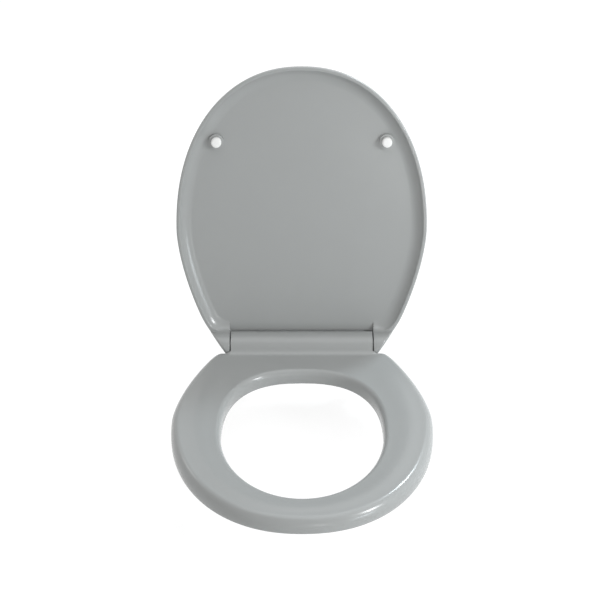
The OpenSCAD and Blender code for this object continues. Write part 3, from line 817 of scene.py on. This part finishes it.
def lid_cuts():
    """What is taken out of the lid behind the ears, for the block, and as a groove behind its rear edge."""
    f = form()
    floor, half, close = lid_floor(), notch_half(), f.block_len / 2 + f.pin_gap
    groove_depth, skin = 0.0009, 0.0007
    behind = slab("behind", (-FAR, FAR), (-FAR, 0.0), (-FAR, FAR))
    combine(behind, [barrel("kept", f.ear_r, -2 * FAR, 2 * FAR, sides=256)], "DIFFERENCE")
    groove = barrel("rear_groove", f.lid_edge_r + groove_depth, -close, close, sides=256)
    over = slab("skin", (-FAR, FAR), (-FAR, FAR), (floor + f.lid_t - skin, FAR))
    combine(groove, [over], "DIFFERENCE")
    channel_front = f.mouth_rear + f.rear_slope_w + f.mouth_corner_r
    return [behind, groove,
            slab("channel", (-half, half), (-FAR, channel_front), (-FAR, floor)),
            barrel("rear", f.lid_edge_r, -close, close, sides=256),
            slab("rear_below", (-half, half), (-FAR, 0.0), (-FAR, FAR))]


class OBJECT_OT_seat_lid(bpy.types.Operator):
    """Moulds the dished lid with its ears and bumper collars"""
    bl_idname = "object.seat_lid"
    bl_label = "Lid"
    bl_options = {"REGISTER", "UNDO"}

    def execute(self, context):
        f = form()
        floor, end, half = lid_floor(), f.block_len / 2, notch_half()
        sunk, boss_r, boss_in, bore_in = 0.001, 0.0125, 0.002, 0.008
        rings, top, bottom = lid_rings()
        lid = laid_on_ball("lid_moulding", rings, top, bottom)
        combine(lid, both(ear()), "UNION")
        combine(lid, lid_cuts(), "DIFFERENCE")
        break_notch_edges(lid)
        x, s = lid_bumper_place()
        combine(lid, both(upright_cylinder("collar", f.collar_r, x, s, floor - f.collar_h, floor + sunk)),
                "UNION")
        combine(lid, both(barrel("thrust_face", boss_r, end + f.pin_gap, half + boss_in, sides=160)), "UNION")
        combine(lid, both(barrel("bush_bore", f.bore_r, end, half + bore_in, sides=48)), "DIFFERENCE")
        only(lid)
        swing_open(lid)
        finish_moulding(lid)
        coat(lid, grey_moulding())
        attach(lid, "cover")
        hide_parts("lid")
        return {"FINISHED"}


def swing_open(ob):
    """Turns a piece that was modelled closed to the open lid's place."""
    f = form()
    only(ob)
    ob.rotation_euler = (-f.lid_open, 0, 0)
    c, s = math.cos(-f.lid_open), math.sin(-f.lid_open)
    ob.location = (0, f.axis_h * s, f.axis_h - f.axis_h * c)
    bpy.ops.object.transform_apply(location=True, rotation=True, scale=True)


# The lid's bumpers

def lid_bumper_profile():
    """Radius and height of a lid bumper: a slightly domed face, a rounded edge and a peg behind it."""
    f = form()
    r, proud, dome, edge = f.bumper_r, 0.0011, 0.0009, 0.0014
    peg_r, peg_len, peg_tip = 0.0025, 0.004, 0.0002
    low, high = f.rim_rise - proud, lid_floor() - f.collar_h
    face = [(0.0, low)] + [(r * k, low + dome * k ** 4) for k in (0.25, 0.5, 0.7, 0.8)]
    rounding = [(r - edge * (1 - math.cos(a)), low + dome + edge * (1 - math.sin(a)))
                for a in np.linspace(math.pi / 2, 0, 9)]
    peg = [(peg_r, high), (peg_r, high + peg_len - peg_tip), (0.0, high + peg_len)]
    return face + rounding + [(r, high)] + peg


class OBJECT_OT_seat_lid_bumpers(bpy.types.Operator):
    """Makes the two soft round bumpers in the lid's hollow"""
    bl_idname = "object.seat_lid_bumpers"
    bl_label = "Lid Bumpers"
    bl_options = {"REGISTER", "UNDO"}

    def execute(self, context):
        x, s = lid_bumper_place()
        for side_name, sign in (("right", 1), ("left", -1)):
            ob = turned("lid_bumper_" + side_name + "_round", lid_bumper_profile(), sign * x, s)
            swing_open(ob)
            bpy.ops.object.shade_smooth_by_angle(angle=math.radians(35))
            coat(ob, soft_white())
            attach(ob, "cover")
            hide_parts("lid_bumper_" + side_name)
        return {"FINISHED"}


# Finishes

def surface(name, colour, rough, metallic=0.0, wave=400.0, colour_range=0.02, rough_range=0.05, bump=0.02):
    """A procedural finish: slow change of tone, finer change of roughness and a shallow grain."""
    mat = bpy.data.materials.get(name)
    if mat:
        return mat
    mat = bpy.data.materials.new(name)
    mat.use_nodes = True
    nodes, links = mat.node_tree.nodes, mat.node_tree.links
    shader = nodes["Principled BSDF"]
    shader.inputs["Metallic"].default_value = metallic
    where = nodes.new("ShaderNodeTexCoord")
    slow, grain = wave / 20, 1800.0

    def noise(scale, detail):
        node = nodes.new("ShaderNodeTexNoise")
        node.inputs["Scale"].default_value = scale
        node.inputs["Detail"].default_value = detail
        links.new(where.outputs["Object"], node.inputs["Vector"])
        return node.outputs["Fac"]

    tone = nodes.new("ShaderNodeMix")
    tone.data_type = "RGBA"
    tone.inputs["A"].default_value = (*[c * (1 - colour_range) for c in colour], 1)
    tone.inputs["B"].default_value = (*[c * (1 + colour_range) for c in colour], 1)
    links.new(noise(slow, 3), tone.inputs["Factor"])
    links.new(tone.outputs["Result"], shader.inputs["Base Color"])
    spread = nodes.new("ShaderNodeMapRange")
    spread.inputs["To Min"].default_value = rough - rough_range
    spread.inputs["To Max"].default_value = rough + rough_range
    links.new(noise(wave, 4), spread.inputs["Value"])
    links.new(spread.outputs["Result"], shader.inputs["Roughness"])
    relief = nodes.new("ShaderNodeBump")
    relief.inputs["Strength"].default_value = bump
    relief.inputs["Distance"].default_value = 0.0002
    links.new(noise(grain, 2), relief.inputs["Height"])
    links.new(relief.outputs["Normal"], shader.inputs["Normal"])
    return mat


def grey_moulding():
    finish = bpy.context.scene.seat_finish
    return surface("grey_moulding", finish.grey, finish.grey_rough, colour_range=0.015, rough_range=0.03,
                   bump=0.008)


def soft_white():
    return surface("soft_white", bpy.context.scene.seat_finish.white, 0.45, wave=700, bump=0.05)


class OBJECT_OT_seat_finishes(bpy.types.Operator):
    """Gives the carried-over hinge and fixing pieces their finishes"""
    bl_idname = "object.seat_finishes"
    bl_label = "Hinge and Fixing Finishes"
    bl_options = {"REGISTER", "UNDO"}

    def execute(self, context):
        nylon = surface("bush_nylon", (0.80, 0.79, 0.74), 0.42, wave=900, bump=0.04)
        cast = surface("post_cast_chrome", (0.62, 0.63, 0.64), 0.20, metallic=1.0, wave=300, rough_range=0.06)
        ground = surface("pin_ground_steel", (0.58, 0.58, 0.57), 0.28, metallic=1.0, wave=1500,
                         rough_range=0.10)
        plated = surface("screw_plated_steel", (0.66, 0.66, 0.64), 0.34, metallic=1.0, wave=1100,
                         rough_range=0.10)
        rubber = surface("gasket_rubber", (0.035, 0.035, 0.037), 0.75, wave=800, colour_range=0.15, bump=0.25)
        washer = surface("washer_plastic", (0.72, 0.72, 0.70), 0.48, wave=600, bump=0.06)
        table = {"seat_bush": nylon, "lid_bush": nylon, "seat_bumper": soft_white(), "hinge_post": cast,
                 "hinge_pin": ground, "grub_screw": plated, "mounting_bolt": plated, "base_gasket": rubber,
                 "cone_washer": rubber, "flat_washer": washer, "wing_nut": washer}
        for name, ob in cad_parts.items():
            for start, mat in table.items():
                if name.startswith(start):
                    coat(ob, mat)
        return {"FINISHED"}


# The studio

def softbox(name, place_at, size, power, tint=(1, 1, 1)):
    """A rectangular lamp that faces the middle of the open seat."""
    aim = (0, -0.12, 0.12)
    bpy.ops.object.light_add(type="AREA", location=place_at)
    lamp = bpy.context.object
    lamp.name = name
    lamp.data.shape = "RECTANGLE"
    lamp.data.size, lamp.data.size_y = size
    lamp.data.energy = power
    lamp.data.color = tint
    back = [a - b for a, b in zip(place_at, aim)]
    flat = math.hypot(back[0], back[1])
    lamp.rotation_euler = (math.atan2(flat, back[2]), 0, math.atan2(back[0], -back[1]))


def white_when_seen(tree, plain, white, out, share):
    """Shows a share of white to the camera and in reflections, and lights the object plainly."""
    ways = tree.nodes.new("ShaderNodeLightPath")
    seen = ways.outputs["Is Camera Ray"]
    for way in ("Is Glossy Ray", "Is Transmission Ray"):
        either = tree.nodes.new("ShaderNodeMath")
        either.operation = "MAXIMUM"
        tree.links.new(seen, either.inputs[0])
        tree.links.new(ways.outputs[way], either.inputs[1])
        seen = either.outputs[0]
    part = tree.nodes.new("ShaderNodeMath")
    part.operation = "MULTIPLY"
    part.inputs[1].default_value = share
    tree.links.new(seen, part.inputs[0])
    pick = tree.nodes.new("ShaderNodeMixShader")
    tree.links.new(part.outputs[0], pick.inputs[0])
    tree.links.new(plain.outputs[0], pick.inputs[1])
    tree.links.new(white.outputs[0], pick.inputs[2])
    tree.links.new(pick.outputs[0], out.inputs["Surface"])


class OBJECT_OT_seat_studio(bpy.types.Operator):
    """Sets a white floor, soft lamps, the world's light and the camera"""
    bl_idname = "object.seat_studio"
    bl_label = "Studio"
    bl_options = {"REGISTER", "UNDO"}

    def execute(self, context):
        under_nuts = -0.060
        clear_selection()
        bpy.ops.mesh.primitive_plane_add(size=12, location=(0, 0, under_nuts))
        floor = named("floor")
        paper = bpy.data.materials.new("floor_paper")
        paper.use_nodes = True
        tree = paper.node_tree
        tree.nodes["Principled BSDF"].inputs["Base Color"].default_value = (0.9, 0.9, 0.9, 1)
        tree.nodes["Principled BSDF"].inputs["Roughness"].default_value = 0.9
        glow = tree.nodes.new("ShaderNodeEmission")
        glow.inputs["Strength"].default_value = 1.12
        white_when_seen(tree, tree.nodes["Principled BSDF"], glow, tree.nodes["Material Output"], 0.8)
        floor.data.materials.append(paper)
        softbox("key_lamp", (1.87, -1.20, 1.14), (0.5, 0.5), 24, (0.97, 0.99, 1.0))
        softbox("low_lamp", (1.83, -1.65, 0.24), (0.7, 0.25), 6, (0.86, 0.95, 1.0))
        softbox("front_lamp", (0.50, -2.47, 0.30), (0.3, 0.3), 2)
        softbox("top_lamp", (0.1, 0.05, 2.52), (2.4, 2.4), 19, (0.96, 0.98, 1.0))
        softbox("left_lamp", (-1.67, 1.05, 1.39), (0.5, 0.6), 2.5)
        softbox("back_lamp", (1.20, 1.08, 1.82), (0.35, 0.35), 24, (0.84, 0.94, 1.0))
        world = context.scene.world or bpy.data.worlds.new("world")
        context.scene.world = world
        world.use_nodes = True
        tree = world.node_tree
        tree.nodes.clear()
        light = tree.nodes.new("ShaderNodeBackground")
        light.inputs["Color"].default_value = (1, 0.985, 0.97, 1)
        light.inputs["Strength"].default_value = 0.48
        white = tree.nodes.new("ShaderNodeBackground")
        white.inputs["Color"].default_value = (1, 1, 1, 1)
        white.inputs["Strength"].default_value = 1.0
        white_when_seen(tree, light, white, tree.nodes.new("ShaderNodeOutputWorld"), 1.0)
        bpy.ops.object.camera_add(location=(-0.0069, -2.1738, 1.4120),
                                  rotation=(math.radians(59.13), 0, math.radians(-0.115)))
        eye = bpy.context.object
        eye.name = "camera"
        eye.data.lens = 101.04
        eye.data.sensor_width = 36.0
        context.scene.camera = eye
        context.scene.view_settings.view_transform = "Standard"
        return {"FINISHED"}


# Panel and start

class VIEW3D_PT_seat(bpy.types.Panel):
    """Sizes, finishes and steps of the toilet seat"""
    bl_label = "Toilet Seat"
    bl_idname = "VIEW3D_PT_seat"
    bl_space_type = "VIEW_3D"
    bl_region_type = "UI"
    bl_category = "Seat"

    def draw(self, context):
        for group in (context.scene.seat_form, context.scene.seat_finish):
            box = self.layout.box()
            for name in group.bl_rna.properties.keys():
                if name not in ("rna_type", "name"):
                    box.prop(group, name)
        for step in OPERATORS:
            self.layout.operator(step.bl_idname)


OPERATORS = (OBJECT_OT_seat_ring, OBJECT_OT_seat_lid, OBJECT_OT_seat_lid_bumpers, OBJECT_OT_seat_finishes,
             OBJECT_OT_seat_studio)


def register():
    for cls in (SeatForm, SeatFinish, *OPERATORS, VIEW3D_PT_seat):
        bpy.utils.register_class(cls)
    bpy.types.Scene.seat_form = bpy.props.PointerProperty(type=SeatForm)
    bpy.types.Scene.seat_finish = bpy.props.PointerProperty(type=SeatFinish)


def unregister():
    del bpy.types.Scene.seat_finish
    del bpy.types.Scene.seat_form
    for cls in (VIEW3D_PT_seat, *OPERATORS[::-1], SeatFinish, SeatForm):
        bpy.utils.unregister_class(cls)


def main():
    register()
    bpy.ops.object.seat_ring()
    bpy.ops.object.seat_lid()
    bpy.ops.object.seat_lid_bumpers()
    bpy.ops.object.seat_finishes()
    bpy.ops.object.seat_studio()


if __name__ == "__main__":
    main()
